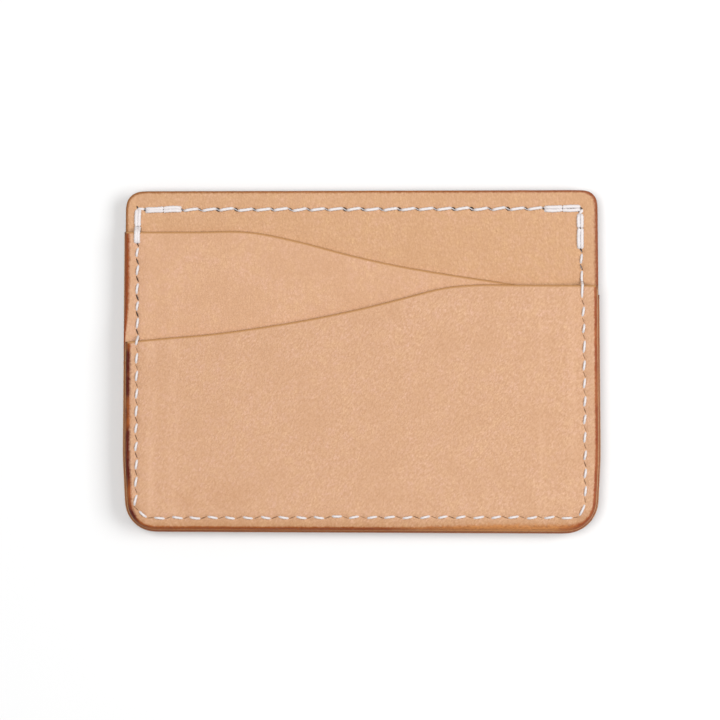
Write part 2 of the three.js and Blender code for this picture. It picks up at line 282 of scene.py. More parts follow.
def smooth_span(points, closed):
    """Evenly spaced points along a span, with the CAD's facets rounded off."""
    if closed:
        points = np.vstack([points, points[:1]])
    along = np.concatenate([[0], np.cumsum(np.linalg.norm(np.diff(points, axis=0), axis=1))])
    at = np.linspace(0, along[-1], round(along[-1] / OUTLINE_STEP) + 1)
    span = np.stack([np.interp(at, along, points[:, k]) for k in range(2)], axis=1)
    if closed:
        span = span[:-1]
    for _ in range(OUTLINE_SMOOTHING):
        eased = 0.25 * (np.roll(span, 1, axis=0) + np.roll(span, -1, axis=0) - 2 * span)
        if not closed:
            eased[[0, -1]] = 0
        span = span + eased
    return span


class Outline:
    """A layer's outline with what its edges need at each point.

    inward points into the leather, mitred at the two corners of a pocket. outward is the side edge's own
    normal, and 0 along a pocket's mouth. on_mouth is true along the mouth.
    """

    def __init__(self, loop):
        into = unit(loop - np.roll(loop, 1, axis=0))
        out = np.roll(into, -1, axis=0)
        corners = np.flatnonzero((into * out).sum(axis=1) < math.cos(CORNER_TURN))
        if len(corners) == 0:
            self.points = smooth_span(loop, True)
            tangent = unit(np.roll(self.points, -1, axis=0) - np.roll(self.points, 1, axis=0))
            self.inward = turned_left(tangent)
            self.outward = -self.inward
            self.on_mouth = np.zeros(len(self.points), bool)
            self.mouth_ends = np.zeros((0, 2))
            return
        loop = np.roll(loop, -corners[0], axis=0)
        middle = corners[1] - corners[0]
        spans = [loop[: middle + 1], np.vstack([loop[middle:], loop[:1]])]
        side, mouth = sorted(spans, key=lambda span: span[:, 1].mean())
        side, mouth = smooth_span(side, False), smooth_span(mouth, False)
        side_in = turned_left(unit(np.gradient(side, axis=0)))
        mouth_in = turned_left(unit(np.gradient(mouth, axis=0)))
        self.points = np.vstack([side, mouth[1:-1]])
        self.inward = np.vstack([side_in, mouth_in[1:-1]])
        for corner, other in ((0, mouth_in[-1]), (len(side) - 1, mouth_in[0])):
            own = side_in[corner]
            self.inward[corner] = (own + other) / (1 + own @ other)
        self.outward = np.vstack([-side_in, np.zeros((len(mouth) - 2, 2))])
        self.on_mouth = np.arange(len(self.points)) >= len(side)
        self.mouth_ends = side[[0, -1]]


def crosses(points, loops):
    """True for each point inside the first loop and outside the others, by counting crossings."""
    start = np.vstack(loops)
    end = np.vstack([np.roll(loop, -1, axis=0) for loop in loops])
    inside = np.zeros(len(points), bool)
    rise = end[:, 1] - start[:, 1]
    rise[rise == 0] = 1e-12
    slope = (end[:, 0] - start[:, 0]) / rise
    for first in range(0, len(points), 4000):
        x, y = points[first: first + 4000].T
        spans = (start[:, 1] > y[:, None]) != (end[:, 1] > y[:, None])
        right = x[:, None] < start[:, 0] + (y[:, None] - start[:, 1]) * slope
        inside[first: first + 4000] = (spans & right).sum(axis=1) % 2 == 1
    return inside


def tree_of(points):
    tree = kdtree.KDTree(len(points))
    for i, (x, y) in enumerate(points):
        tree.insert((x, y, 0), i)
    tree.balance()
    return tree


def distances(points, tree):
    return np.array([tree.find((x, y, 0))[2] for x, y in points])


def nearest(points, tree):
    return np.array([tree.find((x, y, 0))[1] for x, y in points])


def apart(candidates, taken, gap):
    """The candidates that stay a gap away from the points already taken."""
    return candidates[distances(candidates, tree_of(taken)) >= gap]


def self_apart(points, gap):
    """Thins the points until none is nearer than the gap to one before it."""
    kept = {}
    result = []
    for x, y in points:
        i, j = math.floor(x / gap), math.floor(y / gap)
        near = (q for a in (i - 1, i, i + 1) for b in (j - 1, j, j + 1) for q in kept.get((a, b), ()))
        if all((x - q[0]) ** 2 + (y - q[1]) ** 2 >= gap * gap for q in near):
            kept.setdefault((i, j), []).append((x, y))
            result.append((x, y))
    return np.array(result)


# ---------------------------------------------------------------- seams

def seam_holes():
    """The needle holes of the top seam, left to right, and of the pocket seam, left, bottom, right."""
    centres = np.array([loop.mean(axis=0) for loop in flesh_loops(LAYERS[FRONT][PANEL], FRONT)[1:]])
    low, high = (np.array(corner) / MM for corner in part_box(THREADS[FRONT][0]))
    top = (centres[:, 0] > low[0]) & (centres[:, 0] < high[0]) & (centres[:, 1] > low[1])
    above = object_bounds()[1].y / MM * 2
    round_the_u = np.arctan2(centres[:, 0], above - centres[:, 1])
    order = np.argsort(round_the_u)
    upper = [i for i in np.argsort(centres[:, 0]) if top[i]]
    lower = [i for i in order if not top[i]]
    return centres[upper], centres[lower]


# The ways a slit can lean. Along the bottom it leans one way on the left and the other way further on.
SLASH = np.array([1.0, 1.0]) / math.sqrt(2)
BACKSLASH = np.array([-1.0, 1.0]) / math.sqrt(2)
SLASH_UP_TO = -5.0  # by X
BOTTOM_RUN_HEIGHT = 1.5  # a hole that is no higher than this over the lowest one is along the bottom


class Seam:
    """One seam: its needle holes, and the slit at each, with the ends where a stitch comes in and out."""

    link_from = None  # where its thread comes from before the first hole
    link_to = None  # where its thread goes after the last hole

    def __init__(self, holes, lean, style):
        self.holes = holes
        self.style = style
        before = np.vstack([holes[:1], holes[:-1]])
        after = np.vstack([holes[1:], holes[-1:]])
        self.direction = unit(unit(holes - before) + unit(after - holes))
        across = turned_left(self.direction)
        slits = []
        for along, over, hole in zip(self.direction, across, holes):
            leaning = lean(hole)
            slit = math.cos(style["turn"]) * np.sign(along @ leaning) * along
            slit = slit + math.sin(style["turn"]) * np.sign(over @ leaning) * over
            slits.append(slit if slit @ along > 0 else -slit)
        self.slit = np.array(slits)
        spread = style["spread"] + random.uniform(-SPREAD_JITTER, SPREAD_JITTER, (2, len(holes), 1))
        self.come_in = holes - self.slit * spread[0]
        self.go_out = holes + self.slit * spread[1]
        self.gape = random.uniform(*GAPE, len(holes))
        self.gape[[1, -2]] *= PULLED_SHUT
        self.shade_and_burn = random.uniform(*SLIT_SHADE_AND_BURN_SPAN, len(holes)) ** SLIT_SHADE_AND_BURN_POWER

    def slit_loop(self, i, grow, order):
        open_width = CLOSED_SLIT if order == LOWER else self.style["open"] * self.gape[i]
        angle = np.linspace(0, 2 * math.pi, SLIT_POINTS, endpoint=False)
        length, width = self.style["slit"] / 2 + grow, open_width / 2 + grow
        along = np.outer(np.cos(angle) * length, self.slit[i])
        over = np.outer(np.sin(angle) * width, turned_left(self.slit[i]))
        return self.holes[i] + along + over


# ---------------------------------------------------------------- leather

class Layer:
    """One leather layer: its outline, the slits through it and the heights of its two faces.

    Heights are measured from the middle plane outwards, so that both faces of the holder are alike.
    """

    def __init__(self, side, order):
        self.side, self.order = side, order
        self.node = LAYERS[side][order]
        loops = flesh_loops(self.node, side)
        self.outline = Outline(loops[0])
        self.shape_edges(SIDE_EDGE[order])
        low, high = (corner.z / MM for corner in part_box(self.node))
        self.flesh = side * ((low if side == FRONT else high) - MIDDLE)
        self.grain = side * ((high if side == FRONT else low) - MIDDLE)
        self.pierced = [loop.mean(axis=0) for loop in loops[1:]]

    def shape_edges(self, edge):
        """Sets how the side edge stands and how it is rounded, at each point of the outline."""
        points = self.outline.points
        x, y = points.T
        wander = wandering(points, WANDER_LENGTH, WANDER_SEED * self.side * (self.order + 1))
        squeeze = np.zeros(len(points))
        if self.order == UPPER:
            cover = Outline(flesh_loops(LAYERS[self.side][self.order + 1], self.side)[0])
            for end in cover.mouth_ends:
                above = y - end[1]
                reach = np.where(above > 0, SQUEEZE_LENGTH, SQUEEZE_BELOW)
                near = np.exp(-((above / reach) ** 2)) * (x * end[0] > 0)
                squeeze = np.maximum(squeeze, near)
        worn = np.zeros(len(points))
        if self.order == LOWER:
            worn = ramp(x, *WORN_FROM) * ramp(-x, *WORN_TO) * ramp(-y, *WORN_DOWN)
        self.flesh_stand = np.full(len(points), edge["flesh"])
        self.grain_stand = edge["grain"] + 0.6 * EDGE_WANDER * wander + SQUEEZE_OUT * squeeze
        width = edge["width"] + LEFT_WIDTH[self.order] * ramp(-x, *SIDE_STARTS)
        width += RIGHT_WIDTH[self.order] * ramp(x, *SIDE_STARTS)
        self.edge_width = width * (1 + EDGE_WANDER * wander - 0.6 * squeeze) + WORN_WIDTH * worn
        self.edge_depth = edge["depth"] * (1 - 0.5 * squeeze) + WORN_DEPTH * worn

    def border(self, share):
        """The outline at a share of the thickness, from 0 at the flesh side to 1 at the grain side."""
        stand = self.flesh_stand * (1 - share) + self.grain_stand * share
        return self.outline.points + self.outline.outward * stand[:, None]

    def covers(self, points):
        """True for the points that lie well under this layer."""
        inside = crosses(points, [self.outline.points])
        mouth = tree_of(self.outline.points[self.outline.on_mouth])
        return inside & (distances(points, mouth) > COVER_MARGIN)


def wandering(points, length, seed):
    """A slow random change from place to place, from -1 to 1."""
    return np.array([noise.noise(Vector((x / length, y / length, seed))) for x, y in points])


def ramp(values, low, high):
    share = np.clip((values - low) / (high - low), 0, 1)
    return share * share * (3 - 2 * share)


def wave(side, points):
    if side == REAR:
        return np.zeros(len(points))
    return WAVE_HEIGHT * (0.5 + 0.5 * wandering(points, WAVE_LENGTH, 3.7))


def rounding(distance, width, depth):
    """How far an edge falls away at a distance from it."""
    share = np.clip(1 - distance / width, 0, 1)
    return depth * (1 - np.sqrt(np.clip(1 - share**2, 0, 1)))


def nearest_stitch(points, starts, ends):
    """The distance from each point to the nearest stitch."""
    best = np.full(len(points), 1e9)
    for start, end in zip(starts, ends):
        span = end - start
        share = np.clip((points - start) @ span / (span @ span), 0, 1)
        away = np.linalg.norm(points - start - share[:, None] * span, axis=1)
        best = np.minimum(best, away)
    return best


def pressed(points, seams, grooved):
    """How far the stitches pull the grain face in."""
    total = np.zeros(len(points))
    for seam in seams:
        away = nearest_stitch(points, seam.go_out[:-1], seam.come_in[1:])
        line = nearest_stitch(points, seam.holes[:-1], seam.holes[1:])
        hole = distances(points, tree_of(seam.holes))
        total += DIMPLE_DEPTH * np.exp(-((hole / DIMPLE_WIDTH) ** 2))
        total += DIP_DEPTH * np.exp(-((line / DIP_WIDTH) ** 2))
        if grooved:
            inner, outer = GROOVE_EDGE
            total += GROOVE_DEPTH * ramp(-line, -outer, -inner)
        else:
            total += TRENCH_DEPTH * np.exp(-((away / TRENCH_WIDTH) ** 2))
    return total


def mouth_lift(layer, points, away):
    """A pocket's free mouth stands off a little between the side seams."""
    if layer.order == PANEL or layer.side == REAR:
        return np.zeros(len(points))
    reach = np.abs(layer.outline.points[:, 0]).max() - LIFT_CLEAR
    free = np.clip(1 - (points[:, 0] / reach) ** 2, 0, 1)
    return MOUTH_LIFT[layer.order] * free * np.exp(-away / LIFT_LENGTH)


def hexagonal_grid(low, high, step):
    rows = np.arange(low[1], high[1], step * 0.866)
    columns = np.arange(low[0], high[0], step)
    grid = np.array([(x + (i % 2) * step / 2, y) for i, y in enumerate(rows) for x in columns])
    return grid + random.uniform(-GRID_JITTER, GRID_JITTER, grid.shape) * step


def triangulate(loops, extra):
    """Triangles that fill the first loop, leave out the others and use every extra point."""
    points = np.vstack([*loops, extra])
    edges, first = [], 0
    for loop in loops:
        count = len(loop)
        edges += [(first + i, first + (i + 1) % count) for i in range(count)]
        first += count
    found, _, faces, origin, _, _ = delaunay_2d_cdt([Vector(p) for p in points], edges, [], 0, 1e-5)
    if len(found) != len(points):
        raise ValueError("two points of a leather face fell together")
    back = [group[0] for group in origin]
    triangles = np.array([[back[i] for i in face] for face in faces])
    keep = crosses(points[triangles].mean(axis=1), loops)
    return points, triangles[keep]


def face_rings(layer, share, insets, slits):
    """The loops round a face and its slits, and the rows of points along its edge."""
    border = layer.border(share)
    loops = [border, *(seam.slit_loop(i, 0, layer.order) for seam, i in slits)]
    outer = tree_of(border)
    rings = []
    for inset in insets:
        ring = border + layer.outline.inward * inset
        rings.append(ring[distances(ring, outer) > 0.8 * inset])
    rings = np.vstack(rings)
    if slits:
        rings = apart(rings, np.vstack(loops[1:]), RING_TO_SLIT)
    return loops, rings


def grain_face(layer, slits, seams, cover):
    """The plan of a grain face: fine round its edges, slits and seams, and coarse where it is covered."""
    loops, rings = face_rings(layer, 1, GRAIN_RINGS, slits)
    border = loops[0]
    round_slits = np.zeros((0, 2))
    if slits:
        round_slits = [seam.slit_loop(i, grow, layer.order) for seam, i in slits for grow in SLIT_RINGS]
        round_slits = np.vstack(round_slits)
        round_slits = round_slits[crosses(round_slits, loops)]
        round_slits = apart(round_slits, np.vstack([border, rings]), SLIT_TO_RING)
    taken = np.vstack([*loops, rings, round_slits])

    rows = []
    for seam in seams:
        for start, end in zip(seam.go_out[:-1], seam.come_in[1:]):
            span = end - start
            count = max(2, round(np.linalg.norm(span) / SEAM_STEP))
            over = turned_left(unit(span))
            shares = np.linspace(0, 1, count + 1)
            for away in SEAM_ROWS:
                rows += [start + span * share + over * away for share in shares]
                rows += [start + span * share - over * away for share in shares]
    rows = np.array(rows)
    rows = rows[crosses(rows, loops)]
    if cover:
        rows = rows[~cover.covers(rows)]
    rows = apart(rows, taken, ROW_TO_RING)
    rows = self_apart(rows, ROW_TO_ROW)
    taken = np.vstack([taken, rows])

    low, high = border.min(axis=0), border.max(axis=0)
    field = hexagonal_grid(low, high, FIELD_STEP)
    field = field[crosses(field, loops)]
    if cover:
        hidden = hexagonal_grid(low, high, HIDDEN_STEP)
        hidden = hidden[crosses(hidden, loops)]
        field = np.vstack([field[~cover.covers(field)], hidden[cover.covers(hidden)]])
    field = apart(field, taken, FIELD_TO_ROW)
    return triangulate(loops, np.vstack([rings, round_slits, rows, field]))


def flesh_face(layer, slits):
    """The plan of a flesh face, which only shows from inside a pocket."""
    loops, rings = face_rings(layer, 0, FLESH_RINGS, slits)
    field = hexagonal_grid(loops[0].min(axis=0), loops[0].max(axis=0), HIDDEN_STEP)
    field = apart(field[crosses(field, loops)], np.vstack([*loops, rings]), FLESH_FIELD_TO_RING)
    return triangulate(loops, np.vstack([rings, field]))


class Shell:
    """The points, faces and marks of one leather piece while it is being built."""

    def __init__(self, side):
        self.side = side
        self.points = []
        self.marks = {"burnish": [], "mouth": [], "dirt": [], "level": [], "stain": []}
        self.faces, self.face_material = [], []

    def add_points(self, plan, height, **marks):
        """Adds points at heights from the middle plane and returns the first one's number."""
        first = sum(map(len, self.points))
        self.points.append(np.column_stack([plan, MIDDLE + self.side * height]))
        for name, found in self.marks.items():
            found.append(np.broadcast_to(marks.get(name, 0.0), len(plan)))
        return first

    def add_face(self, triangles, first, outwards, material):
        """Adds a grain face, which looks outwards, or a flesh face, which looks inwards."""
        oriented = triangles if (self.side == FRONT) == outwards else triangles[:, ::-1]
        self.faces += (oriented + first).tolist()
        self.face_material += [material] * len(oriented)

    def add_wall(self, upper, lower, count, outwards):
        """Joins two loops of points, round the outline or round a slit."""
        for i in range(count):
            j = (i + 1) % count
            quad = [upper + i, lower + i, lower + j, upper + j]
            self.faces.append(quad if (self.side == FRONT) == outwards else quad[::-1])
            self.face_material.append(GRAIN_SIDE)


def layer_slits(layer, seams):
    """The slits through a layer, each as its seam and its number there."""
    return [
        (seam, i)
        for seam in seams
        for i, hole in enumerate(seam.holes)
        if any(np.linalg.norm(hole - own) < SAME_HOLE for own in layer.pierced)
    ]


def edge_distances(outline, plan, border):
    """How far each point is from the side edge and from the mouth."""
    to_side = distances(plan, tree_of(border[~outline.on_mouth]))
    if outline.on_mouth.any():
        return to_side, distances(plan, tree_of(border[outline.on_mouth]))
    return to_side, np.full(len(plan), NO_MOUTH)


def paint_slit_shade_and_burn(layer, slits, dirt):
    """Paints shade and needle scorch on the slits' own points, which come right after the outline's."""
    first = len(layer.outline.points)
    each = [SLIT_SHADE_AND_BURN * (seam.shade_and_burn[i] if layer.order == LOWER else 1) for seam, i in slits]
    dirt[first: first + len(slits) * SLIT_POINTS] = np.repeat(each, SLIT_POINTS)


def add_grain_side(shell, layer, slits, seams, cover):
    """Adds the grain face and returns its first point's number and its heights."""
    border = layer.border(1)
    plan, triangles = grain_face(layer, slits, seams, cover)
    to_side, to_mouth = edge_distances(layer.outline, plan, border)
    edge_point = nearest(plan, tree_of(border))
    edge_width = layer.edge_width[edge_point]
    fall = rounding(to_side, edge_width, layer.edge_depth[edge_point])
    fall = np.maximum(fall, rounding(to_mouth, MOUTH_EDGE["width"], MOUTH_EDGE["depth"]))
    press = pressed(plan, seams, grooved=(layer.side, layer.order) == (REAR, LOWER))
    height = layer.grain - fall - press + wave(layer.side, plan) + mouth_lift(layer, plan, to_mouth)
    near_hole = distances(plan, tree_of(np.vstack([seam.holes for seam in seams])))
    dirt = HOLE_SOIL[layer.order] * np.exp(-((near_hole / HOLE_SOIL_REACH) ** 2))
    paint_slit_shade_and_burn(layer, slits, dirt)
    first = shell.add_points(
        plan,
        height,
        burnish=np.clip(1.3 - to_side / (edge_width + 0.06), 0, 1),
        mouth=np.clip(1.3 - to_mouth / (MOUTH_EDGE["width"] + 0.04), 0, 1),
        dirt=dirt,
        level=1.0,
        stain=ramp(-plan[:, 1], *STAIN_DOWN) * np.clip(1.2 - to_side / STAIN_WIDTH, 0, 1),
    )
    shell.add_face(triangles, first, True, GRAIN_SIDE)
    return first, height


def add_flesh_side(shell, layer, slits):
    """Adds the flesh face and returns its first point's number and its heights."""
    plan, triangles = flesh_face(layer, slits)
    to_side, to_mouth = edge_distances(layer.outline, plan, layer.border(0))
    chamfer = FLESH_CHAMFER * np.clip(1 - np.minimum(to_side, to_mouth) / FLESH_RINGS[0], 0, 1)
    height = layer.flesh + chamfer + wave(layer.side, plan)
    height += mouth_lift(layer, plan, to_mouth)
    dirt = np.zeros(len(plan))
    paint_slit_shade_and_burn(layer, slits, dirt)
    first = shell.add_points(
        plan,
        height,
        burnish=np.clip(1.2 - to_side / 0.3, 0, 1),
        mouth=np.clip(1.2 - to_mouth / 0.2, 0, 1),
        dirt=dirt,
    )
    shell.add_face(triangles, first, False, FLESH_SIDE)
    return first, height


def add_walls(shell, layer, slits, grain, flesh):
    """Joins the two faces, in bands round the outline and straight through each slit."""
    first_grain, grain_height = grain
    first_flesh, flesh_height = flesh
    outline = layer.outline
    count = len(outline.points)
    # painted shade, with some dark dye, in the recess at each end of a mouth
    notch_shade_and_dye = np.zeros(count)
    for end in outline.mouth_ends:
        away = np.linalg.norm(outline.points - end, axis=1)
        notch_shade_and_dye = np.maximum(notch_shade_and_dye, np.exp(-((away / NOTCH_LENGTH) ** 2)))
    cut = outline.on_mouth.astype(float)
    marks = {"burnish": 1 - cut, "mouth": cut, "dirt": NOTCH_SHADE_AND_DYE * notch_shade_and_dye}
    bands = [first_grain]
    for share in WALL_LEVELS:
        rim = grain_height[:count] * share + flesh_height[:count] * (1 - share)
        bands.append(shell.add_points(layer.border(share), rim, level=share, **marks))
    bands.append(first_flesh)
    for upper, lower in zip(bands, bands[1:]):
        shell.add_wall(upper, lower, count, True)
    for number in range(len(slits)):
        offset = count + number * SLIT_POINTS
        shell.add_wall(first_grain + offset, first_flesh + offset, SLIT_POINTS, False)


def make_piece(name, points, faces, marks, materials):
    """An object made of points in millimetres, with values for its materials at each point."""
    mesh = bpy.data.meshes.new(name)
    mesh.from_pydata((np.vstack(points) * MM).tolist(), [], faces)
    mesh.validate()
    mesh.polygons.foreach_set("use_smooth", [True] * len(mesh.polygons))
    for label, values in marks.items():
        attribute = mesh.attributes.new(label, "FLOAT", "POINT")
        attribute.data.foreach_set("value", np.concatenate(values).astype(np.float32))
    for material in materials:
        mesh.materials.append(material)
    piece = bpy.data.objects.new(name, mesh)
    bpy.context.scene.collection.objects.link(piece)
    return piece


def make_leather(side, order, seams, materials):
    layer = layers[side, order]
    slits = layer_slits(layer, seams)
    shell = Shell(side)
    grain = add_grain_side(shell, layer, slits, seams, layers.get((side, order + 1)))
    flesh = add_flesh_side(shell, layer, slits)
    add_walls(shell, layer, slits, grain, flesh)
    piece = make_piece(layer.node + "_leather", shell.points, shell.faces, shell.marks, materials)
    piece.data.polygons.foreach_set("material_index", shell.face_material)
    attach(piece, "root")
    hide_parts(layer.node)


# ---------------------------------------------------------------- thread

def face_height(side, point):
    """The height of the outermost grain face at a place, or of the groove cut in it."""
    for order in (LOWER, UPPER):
        layer = layers[side, order]
        if crosses(point[None], [layer.outline.points])[0]:
            groove = GROOVE_DEPTH if (side, order) == (REAR, LOWER) else 0
            return layer.grain - groove
    return layers[side, PANEL].grain


def stitch_arch(side, start, end, drops, power, crest, sway):
    """Points over one stitch, as plan and height, from the hole it leaves to the hole it enters."""
    shares = 0.5 - 0.5 * np.cos(np.linspace(0, math.pi, ARCH_STEPS + 1))
    heights = np.array([face_height(side, start + (end - start) * s) for s in (0.0, 1.0)])
    span = end - start
    plan = start + np.outer(shares, span)
    over = turned_left(unit(span))
    plan = plan + np.outer(np.sin(math.pi * shares) * sway, over)
    if abs(heights[0] - heights[1]) > STEP_HEIGHT:
        ground = np.array([face_height(side, p) for p in plan])
        high = ground.max()
        low_end = 1.0 if heights[1] < heights[0] else 0.0
        brink = shares[ground > high - 0.1]
        brink = brink.max() if low_end else brink.min()
        slope = np.clip((shares - brink) / (low_end - brink), 0, 1)
        ground = high + (min(heights) - high) * slope
    else:
        ground = np.full(len(shares), heights.max())
    power *= random.uniform(0.9, 1.1)
    sink = np.where(shares < 0.5, *drops) * np.abs(2 * shares - 1) ** power
    return np.column_stack([plan, np.maximum(ground + crest - sink, LEG_END)])


def held_up(side, holes):
    """True for the holes just above a pocket's mouth, where the thread has to climb its step."""
    held = np.zeros(len(holes), bool)
    for order in (UPPER, LOWER):
        outline = layers[side, order].outline
        to_mouth = distances(holes, tree_of(outline.points[outline.on_mouth]))
        held |= (to_mouth < HELD_UP) & ~crosses(holes, [outline.points])
    return held


def thread_route(side, seam):
    """The whole route of one thread, sewn back over its first and last stitches."""
    style = seam.style
    last = len(seam.holes) - 1
    thread, leg_radius = style["radius"], style["radius"] * LEG_RADIUS
    route, radii = [], []
    held = held_up(side, seam.holes)

    def sew(start, end, drops, power, crest, sway, radius, full=(False, False)):
        """Adds a leg up out of the last hole and a stitch. It stays thick at the ends that full names."""
        arch = stitch_arch(side, start, end, drops, power, crest, sway)
        if route:
            leg = leg_points(route[-1], arch[0])
            route.extend(leg)
            radii.extend([leg_radius] * len(leg))
        from_middle = np.linspace(-1, 1, len(arch))
        tapered = np.where(from_middle < 0, not full[0], not full[1])
        taper = np.clip(np.abs(from_middle) * 4 - 3, 0, 1) * tapered
        route.extend(arch)
        radii.extend(radius + (leg_radius - radius) * taper)

    def pulled_in(hole, place, share):
        return seam.holes[hole] + (place - seam.holes[hole]) * share

    def backtack(a, b):
        """One of the two threads, side by side, that lie over an end of the seam."""
        start, end = (seam.go_out[a], seam.come_in[b]) if b > a else (seam.come_in[a], seam.go_out[b])
        place_a, place_b = ("inner" if hole in (1, last - 1) else "outer" for hole in (a, b))
        start = pulled_in(a, start, BACKTACK_REACH[place_a])
        end = pulled_in(b, end, BACKTACK_REACH[place_b])
        over = turned_left(unit(end - start)) * BACKTACK_SPREAD
        drops = (BACKTACK_DROP[place_a], BACKTACK_DROP[place_b])
        crest, sway = CREST + random.uniform(*BACKTACK_LIFT), random.uniform(*BACKTACK_SWAY)
        sew(start + over, end + over, drops, BACKTACK_POWER, crest, sway, BACKTACK_RADIUS)

    if seam.link_from is not None:
        sew(seam.link_from, seam.come_in[0], LINK_DROPS, LINK_POWER, LINK_CREST, 0.0, thread)
    for a in range(BACKTACK, 0, -1):
        backtack(a, a - 1)
    for a in range(BACKTACK):
        backtack(a, a + 1)
    for a in range(BACKTACK, last - BACKTACK):
        crest = CREST + random.uniform(*STITCH_LIFT)
        full = held[a], held[a + 1]
        drops = tuple(HELD_DROP if end else style["drop"] for end in full)
        sway = random.uniform(*STITCH_SWAY)
        start, end = seam.go_out[a], seam.come_in[a + 1]
        if full[0]:
            start = pulled_in(a, start, HELD_REACH)
        if full[1]:
            end = pulled_in(a + 1, end, HELD_REACH)
        sew(start, end, drops, style["power"], crest, sway, thread, full)
    for a in range(last - BACKTACK, last):
        backtack(a, a + 1)
    for a in range(last, last - BACKTACK, -1):
        backtack(a, a - 1)
    if seam.link_to is not None:
        sew(seam.go_out[last], seam.link_to, LINK_DROPS, LINK_POWER, LINK_CREST, 0.0, thread)
    first, final = route[0], route[-1]
    route = [np.array([*first[:2], LEG_END]), *route, np.array([*final[:2], LEG_END])]
    radii = [leg_radius, *radii, leg_radius]
    return np.array(route), np.array(radii)


def leg_points(down, up):
    """Down one side of a needle hole to the middle of the holder, round the other thread and up again."""
    middle = (down + up) / 2
    return [
        np.array([*(down[:2] * 0.95 + middle[:2] * 0.05), down[2] * 0.5 + LEG_END * 0.5]),
        np.array([*(down[:2] * 0.85 + middle[:2] * 0.15), LEG_END + 0.3]),
        np.array([*middle[:2], LEG_END]),
        np.array([*(up[:2] * 0.85 + middle[:2] * 0.15), LEG_END + 0.3]),
        np.array([*(up[:2] * 0.95 + middle[:2] * 0.05), up[2] * 0.5 + LEG_END * 0.5]),
    ]


def sweep_thread(name, side, route, radii, material):
    """A twisted cord of three plies along the route."""
    points = route.copy()
    points[:, 2] = MIDDLE + side * route[:, 2]
    tangents = unit(np.gradient(points, axis=0))
    along = np.concatenate([[0], np.cumsum(np.linalg.norm(np.diff(points, axis=0), axis=1))])
    normal = np.cross(tangents[0], [0.0, 0.0, 1.0])
    if np.linalg.norm(normal) < 0.1:
        normal = np.array([1.0, 0.0, 0.0])
    angles = np.linspace(0, 2 * math.pi, SECTION_POINTS, endpoint=False)
    rings, around = [], []
    for point, tangent, length, radius in zip(points, tangents, along, radii):
        normal = unit(normal - tangent * (normal @ tangent))
        binormal = np.cross(tangent, normal)
        twisted = angles - 2 * math.pi * length / PLY_PITCH
        radius = radius * (1 + PLY_DEPTH * (np.cos(PLIES * twisted) - 0.5))
        sideways, upwards = np.cos(angles) * radius, np.sin(angles) * radius
        ring = point + np.outer(sideways, normal) + np.outer(upwards, binormal)
        ring[:, 2] = point[2] + (ring[:, 2] - point[2]) * THREAD_SQUASH
        rings.append(ring)
        around.append(twisted)
    count = len(rings)
    faces = []
    for i in range(count - 1):
        for j in range(SECTION_POINTS):
            k = (j + 1) % SECTION_POINTS
            a, b = i * SECTION_POINTS, (i + 1) * SECTION_POINTS
            faces.append([a + j, a + k, b + k, b + j])
    faces.append(list(range(SECTION_POINTS))[::-1])
    faces.append([(count - 1) * SECTION_POINTS + j for j in range(SECTION_POINTS)])
    marks = {"along": [np.repeat(along, SECTION_POINTS)], "around": around}
    return make_piece(name, rings, faces, marks, [material])


def make_thread(side, node, seam, material):
    route, radii = thread_route(side, seam)
    piece = sweep_thread(node + "_cord", side, route, radii, material)
    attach(piece, "root")
    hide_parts(node)


# ---------------------------------------------------------------- materials

class Nodes:
    """Short ways to write a material's nodes."""

    def __init__(self, name):
        self.material = bpy.data.materials.new(name)
        self.material.use_nodes = True
        self.tree = self.material.node_tree
        self.shader = self.tree.nodes["Principled BSDF"]

    def link(self, value, socket):
        if isinstance(value, bpy.types.NodeSocket):
            self.tree.links.new(value, socket)
        else:
            socket.default_value = value

    def node(self, kind, inputs=(), output=0, **settings):
        node = self.tree.nodes.new(kind)
        for key, value in settings.items():
            setattr(node, key, value)
        for key, value in dict(inputs).items():
            self.link(value, node.inputs[key])
        return node.outputs[output]

    def place(self):
        """Object coordinates, in millimetres."""
        return self.node(
            "ShaderNodeVectorMath",
            {0: self.node("ShaderNodeTexCoord", output="Object"), 1: (1000, 1000, 1000)},
            operation="MULTIPLY",
        )

    def stretched(self, vector, scale):
        return self.node("ShaderNodeVectorMath", {0: vector, 1: scale}, operation="MULTIPLY")

    def noise(self, vector, scale, detail=3.0, rough=0.55, distortion=0.0):
        inputs = {"Vector": vector, "Scale": scale, "Detail": detail}
        inputs |= {"Roughness": rough, "Distortion": distortion}
        return self.node("ShaderNodeTexNoise", inputs)

    def maths(self, operation, a, b=0.0, c=0.0):
        return self.node("ShaderNodeMath", {0: a, 1: b, 2: c}, operation=operation)

    def times(self, a, b):
        return self.maths("MULTIPLY", a, b)

    def spread(self, value, low, high, to_low=0.0, to_high=1.0):
        return self.node(
            "ShaderNodeMapRange",
            {"Value": value, "From Min": low, "From Max": high, "To Min": to_low, "To Max": to_high},
        )

    def mix(self, share, a, b, blend="MIX"):
        node = self.tree.nodes.new("ShaderNodeMix")
        node.data_type = "RGBA"
        node.blend_type = blend
        self.link(share, node.inputs[0])
        self.link(a, node.inputs[6])
        self.link(b, node.inputs[7])
        return node.outputs[2]

    def steps(self, value, colours):
        """A colour that changes along X. A step is its X in mm and the three values that a screen shows."""
        node = self.tree.nodes.new("ShaderNodeValToRGB")
        self.link(value, node.inputs[0])
        elements = node.color_ramp.elements
        elements.remove(elements[1])
        for i, (x, *tone) in enumerate(colours):
            position = (x + EDGE_REACH) / (2 * EDGE_REACH)
            element = elements[0] if i == 0 else elements.new(position)
            element.position = position
            element.color = srgb(*tone)
        return node.outputs[0]

    def attribute(self, name):
        return self.node("ShaderNodeAttribute", output="Fac", attribute_name=name)

    def bump(self, height, strength, distance):
        inputs = {"Height": height, "Strength": strength, "Distance": distance * MM}
        return self.node("ShaderNodeBump", inputs)


